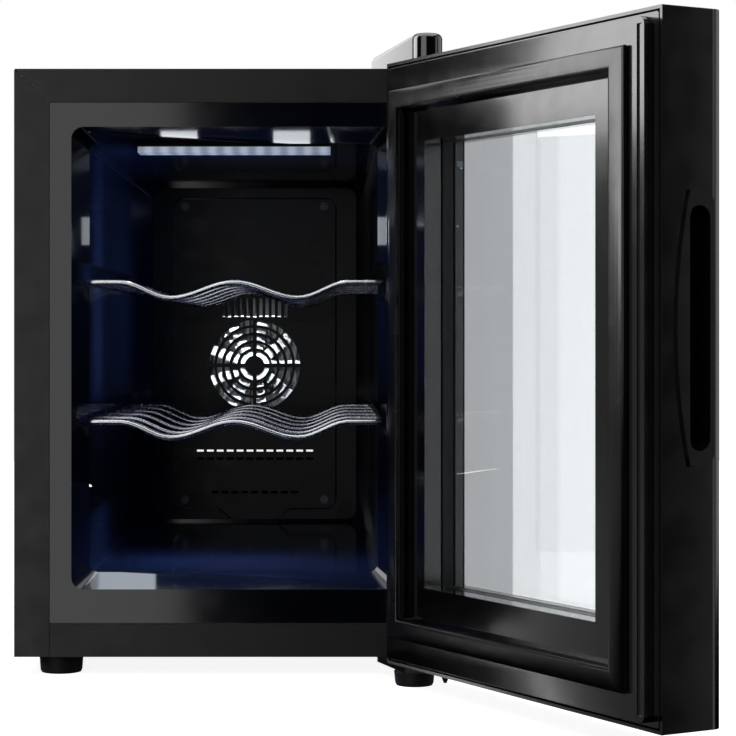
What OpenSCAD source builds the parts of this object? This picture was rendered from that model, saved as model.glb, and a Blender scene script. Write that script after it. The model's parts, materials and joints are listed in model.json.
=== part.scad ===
// Countertop wine cooler: insulated cabinet, glazed side-hinged door standing open,
// two wavy wire shelves, thermoelectric cooling unit with two fans in the back.
// Millimetres, +Z up, front of the cabinet faces -Y, right is +X, Z = 0 is the floor.
// The origin is the bottom centre of the bounding box of the whole cooler, door open.
// Every module is drawn about the middle of the cabinet front and shifted at the end.
// Door modules are drawn shut and then swung to the open angle about the hinge axis.
// Heights are drawn for 13 high feet, and the whole part is lowered or raised to fit foot_h.

/* [Cabinet] */
// Width of the cabinet and of the door
cabinet_w = 275; // [270:1:285]
// Height of the cabinet without its feet
cabinet_h = 370; // [368:1:376]
// Depth of the cabinet behind the door
cabinet_d = 470; // [470:1:480]
// Height of the feet
foot_h = 11.7; // [11:0.1:16]
// Width of the steel band down each side of the front
side_band = 22; // [18:0.5:23]
// Depth of the shelf compartment, from the front to its back wall
cavity_d = 386; // [384:1:386]

/* [Opening and shelves] */
// Width of the front opening
opening_w = 203; // [201:1:205]
// Height of the lower edge of the front opening above the floor
opening_z0 = 55.5; // [55:0.5:57]
// Height of the upper edge of the front opening above the floor
opening_z1 = 346.5; // [345:0.5:347]
// Height of the flat ends of the lower shelf above the floor
lower_shelf_z = 160; // [155:1:165]
// Height of the flat ends of the upper shelf above the floor
upper_shelf_z = 249; // [244:1:252]
// Depth of the bottle troughs in a shelf
trough_depth = 10; // [8:0.5:11]
// Distance of each trough from the middle of a shelf
trough_x = 40.5; // [39:0.5:42]

/* [Door] */
// Angle the door stands open
door_open = 118.8; // [110:0.1:119]
// Thickness of the door, without its seal
door_t = 41; // [40:0.5:44]
// Gap between the door frame and the cabinet front when shut, filled by the seal
seal_gap = 12.2; // [12.2:0.1:13]
// Width of the door frame from the door edge to the window
window_inset = 51.5; // [50:0.5:53]
// Height of the middle of the side handle above the floor
handle_z = 219; // [210:1:226]
// Length of the side handle plate
handle_len = 141; // [130:1:150]

/* [Cooling] */
// Height of the fan axis above the floor
fan_z = 191; // [189:1:193]
// Side of the square fan that stirs the air in the cabinet
cold_fan_size = 80; // [78:1:82]
// Side of the square fan that cools the outer heat sink
hot_fan_size = 92; // [90:1:96]

/* [Hidden] */
half_w = cabinet_w / 2;
base_z = 13;
floor_level = base_z - foot_h;
top_z = base_z + cabinet_h;
sheet = 1.2;
gap = 0.2;
seam = 0.6;
top_band = 21;
band_in = half_w - side_band;
liner_front = 0.3;
liner_wall = 2;
bevel_in = 10;
bevel_d = 13;
opening_r = 7.5;
opening_zm = (opening_z0 + opening_z1) / 2;
opening_h = opening_z1 - opening_z0;
inner_w = opening_w - 2 * bevel_in;
inner_h = opening_h - 2 * bevel_in + 1;
inner_half = inner_w / 2;
ceiling_z = opening_zm + inner_h / 2;
floor_z = opening_zm - inner_h / 2;
inner_r = 6;
runner_half = inner_half + 7;
runner_d = 352;
plenum_half = 60;
plenum_z0 = 88;
plenum_z1 = 314;
plenum_back = 411;
foam_back = 431;
sink_back = 453.4;

door_z0 = base_z + 0.8;
door_z1 = top_z - 0.8;
door_in_y = -seal_gap;
door_out_y = -seal_gap - door_t;
hinge_x = half_w - 15.6;
hinge_y = door_in_y - 20.6;
door_wall = 1.8;
door_round = 9;
glass_edge = 45.5;
glass_t = 3;
pane_1 = 7.2;
pane_2 = 17.6;
core_back = 26;
plateau_in = 5.3;
plateau_up = 7.3;
clear_in = 12.4;
clear_up = 3.4;
seal_in = 18.9;
seal_w = 11.6;
seal_h = 11.9;
face_up = 4.2;
window_r = 0.5;
rail_x = 93.3;
rail_r = 2;
wire_half = 1.5;
shelf_y0 = 20;
shelf_y1 = 338;
flat_x = 73.3;
cross_count = 6;
wave_steps = 7;
pin_r = 3;

// The open door reaches furthest right and furthest forward, the cable gland furthest back
door_reach_x = hinge_x - (half_w - door_round + hinge_x) * cos(door_open)
             - (door_out_y + door_round - hinge_y) * sin(door_open) + door_round;
door_reach_y = hinge_y - (half_w + hinge_x) * sin(door_open)
             + (door_in_y - hinge_y) * cos(door_open);
origin_x = (door_reach_x - half_w) / 2;
origin_y = (door_reach_y + cabinet_d + 2.5) / 2;

// ---------- shared shapes ----------

// Shift from the drawing frame to the origin of the part
module placed() {
    translate([-origin_x, -origin_y, -floor_level]) children();
}

// A flat outline drawn in X and Z, given thickness from y0 to y1
module slab_y(y0, y1) {
    translate([0, y1, 0]) rotate([90, 0, 0]) linear_extrude(y1 - y0) children();
}

// A flat outline drawn in Y and Z, given thickness from x0 to x1
module slab_x(x0, x1) {
    translate([x0, 0, 0]) rotate([90, 0, 90]) linear_extrude(x1 - x0) children();
}

module slab_z(z0, z1) {
    translate([0, 0, z0]) linear_extrude(z1 - z0) children();
}

// Rounded rectangle given by its edges
module rounded(x0, x1, y0, y1, r) {
    translate([x0 + r, y0]) square([x1 - x0 - 2 * r, y1 - y0]);
    translate([x0, y0 + r]) square([x1 - x0, y1 - y0 - 2 * r]);
    for (x = [x0 + r, x1 - r], y = [y0 + r, y1 - r]) translate([x, y]) circle(r, $fn = 48);
}

// Rectangle given by its edges
module plain(x0, x1, y0, y1) {
    translate([x0, y0]) square([x1 - x0, y1 - y0]);
}

module block(x0, x1, y0, y1, z0, z1) {
    translate([x0, y0, z0]) cube([x1 - x0, y1 - y0, z1 - z0]);
}

// Cylinder along Y from y0 to y1
module rod_y(x, z, r, y0, y1) {
    translate([x, y1, z]) rotate([90, 0, 0]) cylinder(h = y1 - y0, r = r, $fn = 48);
}

module rod_z(x, y, r, z0, z1) {
    translate([x, y, z0]) cylinder(h = z1 - z0, r = r, $fn = 48);
}

// Pan head screw with its head on z = 0, shank going down
module screw_down(head_r, head_h, shank_r, shank_l) {
    difference() {
        cylinder(h = head_h, r = head_r, $fn = 48);
        translate([0, 0, head_h - 0.8]) cube([head_r * 1.1, 0.8, 1.8], center = true);
        translate([0, 0, head_h - 0.8]) cube([0.8, head_r * 1.1, 1.8], center = true);
    }
    translate([0, 0, -shank_l]) cylinder(h = shank_l + 0.1, r = shank_r, $fn = 48);
}

// The same screw driven towards +Y, head on the -Y side of plane y
module screw_y(x, y, z, head_r, head_h, shank_r, shank_l) {
    translate([x, y, z]) rotate([90, 0, 0]) screw_down(head_r, head_h, shank_r, shank_l);
}

// ---------- cabinet body ----------

// Folded steel wrapper: top, two sides, front band with mitred upper corners, rear lips
module outer_shell() {
    color("#202022") placed() difference() {
        union() {
            block(-half_w, -half_w + sheet, 0, cabinet_d, base_z, top_z);
            block(half_w - sheet, half_w, 0, cabinet_d, base_z, top_z);
            block(-half_w, half_w, 0, cabinet_d, top_z - sheet, top_z);
            for (s = [-1, 1]) scale([s, 1, 1]) {
                block(band_in, half_w, 0, sheet, base_z, top_z);
                block(half_w - 11, half_w, cabinet_d - 2.6, cabinet_d - 1.4, base_z, top_z);
            }
            block(-half_w, half_w, 0, sheet, top_z - top_band, top_z);
            block(-half_w, half_w, cabinet_d - 2.6, cabinet_d - 1.4, top_z - 11, top_z);
        }
        for (s = [-1, 1]) slab_y(-1, sheet + 1) polygon([
            [s * (half_w + 0.2), top_z + 0.4],
            [s * (half_w + 0.6), top_z],
            [s * (band_in - 0.1), top_z - top_band - 0.5],
            [s * (band_in - 0.5), top_z - top_band - 0.1]
        ]);
        for (p = top_screw_spots) rod_z(p[0], p[1], 2.2, top_z - 5, top_z + 1);
        for (p = rear_screw_spots) rod_y(p[0], p[1], 1.7, cabinet_d - 4, cabinet_d);
    }
}

top_screw_spots = [[112, 14], [122, 40], [104, 62]];
bottom_screw_spots = [[100, 14], [124, 14], [112, 46]];

// Floor of the cabinet with the lower front band and air slots under the cooling unit
module base_tray() {
    color("#1c1c1e") placed() difference() {
        union() {
            block(-half_w + sheet + gap, half_w - sheet - gap, sheet + gap, cabinet_d - 3,
                base_z, base_z + sheet);
            block(-band_in + gap, band_in - gap, 0.7, sheet + 0.5, base_z, base_z + sheet);
            block(-band_in + gap, band_in - gap, 0.7, sheet, base_z, base_z + top_band);
            block(-band_in + seam, band_in - seam, 0, 0.8, base_z, base_z + top_band - seam);
        }
        for (i = [-7 : 7]) {
            slab_z(base_z - 1, base_z + 3) rounded(i * 12 - 3, i * 12 + 3, foam_back + 6, 462, 2.9);
        }
        for (p = foot_spots) rod_z(p[0], p[1], 4.2, base_z - 1, base_z + 3);
        for (p = bottom_screw_spots) rod_z(p[0], p[1], 2.2, base_z - 1, base_z + 3);
    }
}

foot_spots = [[-110, 19], [-110, 424], [110, 424]];

// Outline shared by the liner, its outer skin and the foam round it, with the shelf
// channels starting at channel_y
module liner_solid(grow, front, channel_y) {
    translate([0, 0, opening_zm]) hull() {
        slab_y(front, front + 0.1) rounded_mid(opening_w + 2 * grow, opening_h + 2 * grow,
            opening_r + grow);
        slab_y(bevel_d + grow, bevel_d + grow + 0.1) rounded_mid(inner_w + 2 * grow,
            inner_h + 2 * grow, inner_r + grow);
    }
    slab_y(bevel_d + grow - 0.1, cavity_d + grow) rounded(-inner_half - grow, inner_half + grow,
        floor_z - grow, ceiling_z + grow, inner_r + grow);
    slab_y(cavity_d - 1, plenum_back + grow) rounded(-plenum_half - grow, plenum_half + grow,
        plenum_z0 - grow, plenum_z1 + grow, 5 + grow);
    for (z = [lower_shelf_z, upper_shelf_z]) {
        block(-runner_half - grow, runner_half + grow, channel_y, runner_d + grow,
            z - rail_r - 0.3 - grow, z + 12 + grow);
    }
}

module rounded_mid(w, h, r) {
    rounded(-w / 2, w / 2, -h / 2, h / 2, r);
}

// Moulded inner box: front flange, sloping bevel, shelf channels and plenum in the back wall
module inner_liner() {
    color("#15161c") placed() difference() {
        union() {
            slab_y(liner_front + 1, liner_front + liner_wall) plain(-band_in + gap, band_in - gap,
                base_z + top_band + gap, top_z - top_band - gap);
            slab_y(liner_front, liner_front + 1.1) plain(-band_in + seam, band_in - seam,
                base_z + top_band + seam, top_z - top_band - seam);
            liner_solid(liner_wall, liner_front, 6);
        }
        liner_solid(0, liner_front - 0.05, liner_front - 0.05);
        block(-opening_w / 2 + 2, opening_w / 2 - 2, -1, liner_front + 0.05,
            opening_z0 + 2, opening_z1 - 2);
        block(-22, 22, plenum_back - 2, plenum_back + 4, fan_z - 22, fan_z + 22);
        for (p = cover_screw_spots) rod_y(p[0], p[1], 1.8, cavity_d - 1, cavity_d + 3);
    }
}

// Foamed-in insulation between the steel wrapper and the liner
module insulation_foam() {
    color("#d8c98c") placed() difference() {
        block(-half_w + sheet + gap, half_w - sheet - gap, liner_front + liner_wall + gap,
            foam_back - gap, base_z + sheet + gap, top_z - sheet - gap);
        liner_solid(liner_wall + gap, liner_front, 5.8);
        block(-22, 22, plenum_back, foam_back + 1, fan_z - 22, fan_z + 22);
        for (p = top_screw_spots) rod_z(p[0], p[1], 2.2, top_z - 16, top_z);
        for (p = bottom_screw_spots) rod_z(p[0], p[1], 2.2, base_z, base_z + 16);
        for (p = foot_spots) rod_z(p[0], p[1], 4.2, base_z, base_z + 8);
        for (p = cover_screw_spots) rod_y(p[0], p[1], 1.8, cavity_d, cavity_d + 12);
    }
}

// Sheet that closes the foam and carries the outer heat sink and the boards
module foam_back_plate() {
    color("#8d9094") placed() difference() {
        block(-half_w + sheet + gap, half_w - sheet - gap, foam_back, foam_back + 1,
            base_z + sheet + gap, top_z - sheet - gap);
        block(-22, 22, foam_back - 1, foam_back + 2, fan_z - 22, fan_z + 22);
        for (p = post_spots) rod_y(p[0], p[1], 1.7, foam_back - 1, foam_back + 2);
    }
}

// ---------- back cover inside the cabinet ----------

cover_screw_spots = [for (x = [-56, 56], z = [plenum_z0 - 5, plenum_z1 + 5]) [x, z]];

// Outline of the raised middle panel with its foot that runs down to the lower edge
module panel_outline(grow) {
    rounded(-65 - grow, 65 + grow, 76 - grow, 325 + grow, 8 + grow);
    polygon([[-28 - grow, 78], [28 + grow, 78], [28 + grow, 76 - grow],
        [17 + grow, 66], [-17 - grow, 66], [-28 - grow, 76 - grow]]);
}

// Border piece round the fan cover
module cover_frame() {
    color("#26272b") placed() difference() {
        slab_y(cavity_d - 5, cavity_d - gap) rounded(-82, 82, 67, 334, 8);
        slab_y(cavity_d - 6, cavity_d) panel_outline(0.9);
        slab_y(cavity_d - 3, cavity_d) rounded(-79.5, 79.5, 69.5, 331.5, 6);
    }
    color("#26272b") placed() difference() {
        slab_y(cavity_d - 3.1, cavity_d - gap) panel_outline(3.2);
        slab_y(cavity_d - 6, cavity_d) panel_outline(0.9);
        block(-90, 90, cavity_d - 6, cavity_d + 1, 60, 69);
    }
}

// Openings of the fan grille: rings round a solid hub, kept apart by two crossing bars
module grille_rings(count, hub, pitch, width, bars) {
    for (i = [1 : count]) difference() {
        circle(hub + pitch * i, $fn = 96);
        circle(hub + pitch * i - width, $fn = 96);
        for (a = bars) rotate(a) square([2 * (hub + pitch * (count + 1)), 3], center = true);
    }
}

// Fan cover: raised panel with a ringed fan grille and rows of air slots
module fan_cover() {
    front = cavity_d - 6.5;
    color("#141518") placed() union() {
        slab_y(front, front + 2) difference() {
            intersection() {
                panel_outline(0);
                plain(-80, 80, 67.2, 340);
            }
            translate([0, fan_z]) grille_rings(5, 5.6, 6.2, 4, [0, 90]);
            for (i = [-5 : 5]) plain(i * 5 - 1.3, i * 5 + 1.3, 230, 245);
            for (i = [0 : 11]) {
                plain(-46.5 + 8 * i, -41 + 8 * i, 121.4, 123.2);
                plain(-46.5 + 8 * i, -41 + 8 * i, 115, 116.8);
            }
            for (i = [0 : 8]) plain(-34.7 + 8 * i, -29.3 + 8 * i, 88, 89.8);
            for (p = cover_screw_spots) translate(p) circle(1.8, $fn = 48);
        }
        slab_y(front + 2, cavity_d - gap) difference() {
            rounded(-65, 65, 76, 325, 8);
            rounded(-63, 63, 78, 323, 6);
        }
        slab_y(front + 2, cavity_d - gap) {
            for (p = cover_screw_spots) translate(p) difference() {
                circle(3.5, $fn = 48);
                circle(1.8, $fn = 48);
            }
        }
    }
}

module fan_cover_screws() {
    color("#3c3e42") placed() for (p = cover_screw_spots) {
        screw_y(p[0], cavity_d - 6.55, p[1], 3.2, 1.6, 1.5, 14);
    }
}

// ---------- fans and cooling stack ----------

// Square fan housing: round duct, motor plate on four arms, corner holes and a fixed shaft
module fan_housing(size, depth, y0) {
    duct = size / 2 - 2;
    hub = size * 0.16;
    y1 = y0 + depth;
    difference() {
        slab_y(y0, y1) rounded(-size / 2, size / 2, fan_z - size / 2, fan_z + size / 2, 4);
        rod_y(0, fan_z, duct, y0 - 1, y1 + 1);
        for (x = [-1, 1], z = [-1, 1]) {
            rod_y(x * (size / 2 - 4.4), fan_z + z * (size / 2 - 4.4), 1.8, y0 - 1, y1 + 1);
        }
    }
    rod_y(0, fan_z, hub, y1 - 2, y1);
    for (a = [45 : 90 : 315]) translate([0, 0, fan_z]) rotate([0, a, 0]) {
        block(hub - 2, duct + 0.6, y1 - 2, y1, -1.5, 1.5);
    }
    rod_y(0, fan_z, 1.5, y0 + 1, y1 - 1);
}

// Bladed rotor that turns on the shaft of the housing
module fan_rotor(size, depth, y0, blades) {
    hub = size * 0.17;
    tip = size / 2 - 3.2;
    y1 = y0 + depth - 2.6;
    difference() {
        union() {
            rod_y(0, fan_z, hub, y0 + 0.6, y1);
            for (i = [0 : blades - 1]) translate([0, (y0 + y1) / 2 + 0.3, fan_z]) {
                rotate([0, i * 360 / blades, 0]) rotate([38, 0, 0]) {
                    block(hub - 1.5, tip, -0.6, 0.6, -size * 0.058, size * 0.058);
                }
            }
        }
        rod_y(0, fan_z, 1.55, y0, y1 + 1);
    }
}

module cold_fan_frame() {
    color("#e8e8ea") placed() fan_housing(cold_fan_size, 10.4, cavity_d - 3.4);
}

module cold_fan_rotor() {
    color("#f2f2f4") placed() fan_rotor(cold_fan_size, 10.4, cavity_d - 3.4, 9);
}

module hot_fan_frame() {
    color("#18181a") placed() fan_housing(hot_fan_size, 13, sink_back + 0.2);
}

module hot_fan_rotor() {
    color("#1e1e20") placed() fan_rotor(hot_fan_size, 13, sink_back + 0.2, 7);
}

// Finned block in the plenum, fins facing the fan
module cold_sink() {
    y0 = cavity_d + 8.4;
    color("#c9cdd2") placed() union() {
        block(-45, 45, plenum_back - 4.5, plenum_back - 0.5, fan_z - 55, fan_z + 55);
        for (i = [-8 : 8]) block(i * 5.5 - 0.5, i * 5.5 + 0.5, y0, plenum_back - 4, fan_z - 55,
            fan_z + 55);
    }
}

// Aluminium block that passes through the back wall
module spacer_block() {
    color("#b9bdc2") placed() {
        block(-20, 20, plenum_back - 0.4, foam_back - 2.6, fan_z - 20, fan_z + 20);
    }
}

// Thermoelectric wafer between the block and the outer heat sink
module peltier_module() {
    color("#ededea") placed() union() {
        block(-20, 20, foam_back - 2.5, foam_back - 1.7, fan_z - 20, fan_z + 20);
        block(-20, 20, foam_back + 0.3, foam_back + 1.1, fan_z - 20, fan_z + 20);
        for (i = [-4 : 4], j = [-4 : 4]) block(i * 4.2 - 0.9, i * 4.2 + 0.9, foam_back - 1.8,
            foam_back + 0.4, fan_z + j * 4.2 - 0.9, fan_z + j * 4.2 + 0.9);
    }
}

// Large finned block in the rear chamber
module hot_sink() {
    color("#c4c8cc") placed() union() {
        block(-60, 60, foam_back + 1.2, foam_back + 6.2, fan_z - 60, fan_z + 60);
        for (i = [-12 : 12]) block(i * 4.9 - 0.6, i * 4.9 + 0.6, foam_back + 6, sink_back,
            fan_z - 60, fan_z + 60);
    }
}

// ---------- rear chamber ----------

rear_screw_spots = [for (x = [-131, 131], z = [40, 198, 356]) [x, z]];

// Rear cover with a round fan opening and two fields of air slots
module rear_panel() {
    y0 = cabinet_d - 1.2;
    color("#1d1d1f") placed() difference() {
        block(-half_w + sheet + gap, half_w - sheet - gap, y0, cabinet_d,
            base_z + sheet + gap, top_z - sheet - gap);
        rod_y(0, fan_z, hot_fan_size / 2 - 1, y0 - 1, cabinet_d + 1);
        for (i = [0 : 8], z = [60, 300]) slab_y(y0 - 1, cabinet_d + 1) {
            rounded(-60, 60, z + i * 6, z + i * 6 + 3, 1.4);
        }
        for (p = rear_screw_spots) rod_y(p[0], p[1], 2, y0 - 1, cabinet_d + 1);
        rod_y(-100, 40, 8.3, y0 - 1, cabinet_d + 1);
    }
}

module rear_panel_screws() {
    color("#55585c") placed() for (p = rear_screw_spots) {
        translate([p[0], cabinet_d + 0.05, p[1]]) rotate([-90, 0, 0]) {
            screw_down(3.4, 1.6, 1.5, 5);
        }
    }
}

// Ringed finger guard behind the rear fan
module rear_fan_guard() {
    y0 = cabinet_d - 3;
    r = hot_fan_size / 2 + 2;
    color("#141416") placed() difference() {
        rod_y(0, fan_z, r, y0, cabinet_d - 1.4);
        slab_y(y0 - 1, cabinet_d) translate([0, fan_z]) grille_rings(5, 8.2, 7.2, 5.2, [0, 60, 120]);
    }
}

post_spots = [[74, 46], [122, 46], [74, 144], [122, 144], [74, 222], [122, 222], [74, 282],
    [122, 282]];

// Pillars that hold the two boards off the plate
module board_posts() {
    color("#c9a45a") placed() for (p = post_spots) difference() {
        union() {
            rod_y(p[0], p[1], 3, foam_back + 1.1, foam_back + 8);
            rod_y(p[0], p[1], 1.5, foam_back - 0.1, foam_back + 1.2);
        }
        rod_y(p[0], p[1], 1, foam_back + 3, foam_back + 9);
    }
}

// Mains power supply board
module power_board() {
    y = foam_back + 8.1;
    color("#3f6b3a") placed() union() {
        difference() {
            block(68, 128, y, y + 1.6, 40, 150);
            for (p = post_spots) rod_y(p[0], p[1], 1.6, y - 1, y + 3);
        }
        block(82, 112, y + 1.5, y + 20, 84, 112);
        for (z = [60, 130]) rod_y(88, z, 8, y + 1.5, y + 21);
        rod_y(110, 64, 6, y + 1.5, y + 18);
        block(100, 118, y + 1.5, y + 9, 122, 138);
        block(78, 84, y + 1.5, y + 14, 96, 116);
    }
}

// Temperature control board
module control_board() {
    y = foam_back + 8.1;
    color("#35603a") placed() union() {
        difference() {
            block(68, 128, y, y + 1.6, 216, 288);
            for (p = post_spots) rod_y(p[0], p[1], 1.6, y - 1, y + 3);
        }
        block(88, 104, y + 1.5, y + 4, 244, 260);
        for (i = [0 : 2]) block(80 + i * 14, 90 + i * 14, y + 1.5, y + 10, 272, 280);
        rod_y(114, 234, 4, y + 1.5, y + 12);
    }
}

// Air temperature probe in the plenum
module temperature_sensor() {
    color("#2b2b2e") placed() union() {
        translate([0, cavity_d + 8, 262]) cylinder(h = 16, r = 2.5, $fn = 48);
        block(-4, 4, cavity_d + 8, plenum_back - 0.5, 266, 272);
    }
}

// Bushing where the supply cord would enter the rear cover
module cable_gland() {
    color("#121214") placed() difference() {
        union() {
            rod_y(-100, 40, 8, cabinet_d - 9, cabinet_d + 1);
            rod_y(-100, 40, 11, cabinet_d + 0.05, cabinet_d + 2.5);
            slab_y(cabinet_d - 8, cabinet_d - 4) translate([-100, 40]) circle(11, $fn = 6);
        }
        rod_y(-100, 40, 3.5, cabinet_d - 10, cabinet_d + 4);
    }
}

// ---------- light in the ceiling ----------

// Base of the light bar on the ceiling
module light_housing() {
    z = ceiling_z;
    color("#222330") placed() {
        block(-bar_half, bar_half, shelf_y0, shelf_y0 + 20, z - 1.2, z - 0.1);
    }
}

// Opal cap of the light bar
module light_lens() {
    z = ceiling_z;
    color("#dfe9ff") placed() difference() {
        block(-bar_half, bar_half, shelf_y0, shelf_y0 + 20, z - 5, z - 1.3);
        block(-bar_half + 1.5, bar_half - 1.5, shelf_y0 + 1.5, shelf_y0 + 18.5, z - 3.8, z - 1);
    }
}

bar_half = 61.5;

// Strip of emitters inside the light bar
module led_strip() {
    z = ceiling_z;
    color("#f4f4e8") placed() union() {
        block(-57, 57, shelf_y0 + 6, shelf_y0 + 14, z - 2.3, z - 1.5);
        for (i = [-5 : 5]) block(i * 10 - 1.6, i * 10 + 1.6, shelf_y0 + 8.4, shelf_y0 + 11.6,
            z - 3, z - 2.2);
    }
}

// ---------- feet and hinges ----------

// Tapered foot on the floor with a spigot up into the cabinet
module foot(x, y, r, top) {
    color("#161618") placed() union() {
        rod_z(x, y, r - 1.3, floor_level, floor_level + 1.1);
        translate([x, y, floor_level + 1]) {
            cylinder(h = top - floor_level - 1.1, r1 = r - 0.8, r2 = r, $fn = 48);
        }
        rod_z(x, y, 4, top - 1, top + 6);
    }
}

module foot_front_left() {
    foot(foot_spots[0][0], foot_spots[0][1], 14, base_z);
}

module foot_rear_left() {
    foot(foot_spots[1][0], foot_spots[1][1], 14, base_z);
}

module foot_rear_right() {
    foot(foot_spots[2][0], foot_spots[2][1], 14, base_z);
}

front_right_spot = [hinge_x - 8.9, hinge_y - 1.2];

// This foot stands under the lower hinge bracket
module foot_front_right() {
    top = base_z - 3;
    x = front_right_spot[0];
    y = front_right_spot[1];
    color("#161618") placed() union() {
        rod_z(x, y, 11.2, floor_level, floor_level + 1.1);
        translate([x, y, floor_level + 1]) {
            cylinder(h = top - floor_level - 1.1, r1 = 11.7, r2 = 12.5, $fn = 48);
        }
        rod_z(x, y, 2.4, top - 1, top + 2.8);
    }
}

// Steel plate on top of the cabinet that reaches out over the door
module top_hinge_plate() {
    z0 = top_z + 0.05;
    color("#6c7076") placed() difference() {
        slab_z(z0, z0 + 2.4) union() {
            translate([hinge_x, hinge_y]) circle(5.2, $fn = 48);
            polygon([[hinge_x - 5.2, hinge_y], [hinge_x + 5, hinge_y], [hinge_x + 5, 70],
                [hinge_x - 28, 70], [hinge_x - 16.5, 8], [hinge_x - 9, hinge_y + 8]]);
        }
        rod_z(hinge_x, hinge_y, pin_r + 0.05, z0 - 1, z0 + 4);
        for (p = top_screw_spots) rod_z(p[0], p[1], 2.2, z0 - 1, z0 + 4);
    }
}

module top_hinge_pin() {
    color("#a8acb0") placed() union() {
        rod_z(hinge_x, hinge_y, pin_r, door_z1 - 14, top_z + 2.5);
        rod_z(hinge_x, hinge_y, pin_r + 2, top_z + 2.5, top_z + 4);
    }
}

module top_hinge_screws() {
    color("#8c9094") placed() for (p = top_screw_spots) {
        translate([p[0], p[1], top_z + 2.5]) screw_down(3.6, 2.2, 2, 16);
    }
}

// Rounded cover over the upper hinge
module cover_lump(inset, z0, z1) {
    hull() for (p = [[hinge_x - 1.3, hinge_y - 1.5, 9.5], [hinge_x - 23.1, 79, 10],
            [hinge_x - 0.7, 79, 9]]) {
        translate([p[0], p[1], z0]) cylinder(h = z1 - z0 - 4, r = p[2] - inset, $fn = 32);
        translate([p[0], p[1], z0]) cylinder(h = z1 - z0 - 1.2, r = p[2] - inset - 1.2, $fn = 32);
        translate([p[0], p[1], z0]) cylinder(h = z1 - z0, r = p[2] - inset - 3.5, $fn = 32);
    }
}

module top_hinge_cover() {
    color("#0e0e10") placed() difference() {
        cover_lump(0, top_z + 0.05, top_z + 17);
        cover_lump(1.8, top_z - 1, top_z + 15.2);
    }
}

// Steel bracket under the cabinet that carries the lower pin and the front right foot
module bottom_hinge_bracket() {
    z1 = base_z - 0.05;
    color("#2a2b2e") placed() difference() {
        slab_z(base_z - 3, z1) union() {
            translate([hinge_x, hinge_y]) circle(12, $fn = 48);
            polygon([[half_w - 2, 62], [92, 62], [91, 0], [hinge_x - 15, hinge_y - 14.5],
                [hinge_x, hinge_y - 15.5], [hinge_x + 11, hinge_y - 6], [half_w - 2, hinge_y + 15]]);
        }
        rod_z(hinge_x, hinge_y, pin_r + 0.05, base_z - 4, base_z + 1);
        rod_z(front_right_spot[0], front_right_spot[1], 2.45, base_z - 4, base_z + 1);
        for (p = bottom_screw_spots) rod_z(p[0], p[1], 2.2, base_z - 4, base_z + 1);
    }
}

module bottom_hinge_pin() {
    color("#a8acb0") placed() rod_z(hinge_x, hinge_y, pin_r, base_z - 2.9, door_z0 + 14);
}

module bottom_hinge_screws() {
    color("#8c9094") placed() for (p = bottom_screw_spots) {
        translate([p[0], p[1], base_z - 3.05]) rotate([180, 0, 0]) screw_down(4, 2.2, 2, 17);
    }
}

// ---------- shelves ----------

// Height of a cross wire along the shelf: level ends, two troughs, a crest in the middle
function ease(t) = (1 - cos(180 * t)) / 2;
function wave_z(x) = abs(x) >= flat_x ? 0
    : abs(x) > trough_x ? -trough_depth * ease((flat_x - abs(x)) / (flat_x - trough_x))
    : -trough_depth * ease(abs(x) / trough_x);

// Stations along the cross wire, as X and Z
wave_half = concat([for (i = [0 : wave_steps]) i * trough_x / wave_steps],
    [for (i = [1 : wave_steps]) trough_x + i * (flat_x - trough_x) / wave_steps], [rail_x]);
wave_count = len(wave_half);
wave_path = concat([for (i = [wave_count - 1 : -1 : 1]) [-wave_half[i], wave_z(wave_half[i])]],
    [for (x = wave_half) [x, wave_z(x)]]);
wave_last = len(wave_path) - 1;

// Wavy cross wire, cut from a band that follows the stations
module wave_wire(y, z) {
    slab_y(y - wire_half, y + wire_half) translate([0, z]) polygon(concat(
        [for (p = wave_path) [p[0], p[1] + wire_half]],
        [for (i = [wave_last : -1 : 0]) [wave_path[i][0], wave_path[i][1] - wire_half]]
    ));
}

// Wire shelf: two side rails joined by wavy cross wires, doubled at the front
module shelf(z) {
    pitch = (shelf_y1 - shelf_y0) / (cross_count - 1);
    color("#d4d7da") placed() union() {
        for (s = [-1, 1]) rod_y(s * rail_x, z, rail_r, shelf_y0 - 3, shelf_y1 + 3);
        for (i = [0 : cross_count - 1]) wave_wire(shelf_y0 + i * pitch, z);
        wave_wire(shelf_y0 + 14, z);
    }
}

module lower_shelf() {
    shelf(lower_shelf_z);
}

module upper_shelf() {
    shelf(upper_shelf_z);
}

// ---------- door ----------

// Swings a door module from shut to the open angle
module swung() {
    placed() translate([hinge_x, hinge_y, 0]) rotate([0, 0, door_open]) {
        translate([-hinge_x, -hinge_y, 0]) children();
    }
}

// Frame-shaped slab: outer edge at inset a, inner edge at inset b, depths v0 to v1
// counted from the inner face of the door towards its outside
module door_ring(a, b, v0, v1, ra = 0.5, rb = 0.5) {
    slab_y(door_in_y - v1, door_in_y - v0) difference() {
        door_outline(a, ra);
        door_outline(b, rb);
    }
}

module door_outline(a, r) {
    rounded(-half_w + a, half_w - a, door_z0 + a, door_z1 - a, r);
}

module door_slab(a, v0, v1, r = 0.5) {
    slab_y(door_in_y - v1, door_in_y - v0) door_outline(a, r);
}

// Plan of the door with its rounded outer vertical edges
module door_plan() {
    plain(-half_w, half_w, door_out_y + door_round, door_in_y);
    plain(-half_w + door_round, half_w - door_round, door_out_y, door_in_y - 1);
    for (s = [-1, 1]) translate([s * (half_w - door_round), door_out_y + door_round]) {
        circle(door_round, $fn = 64);
    }
}

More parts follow.
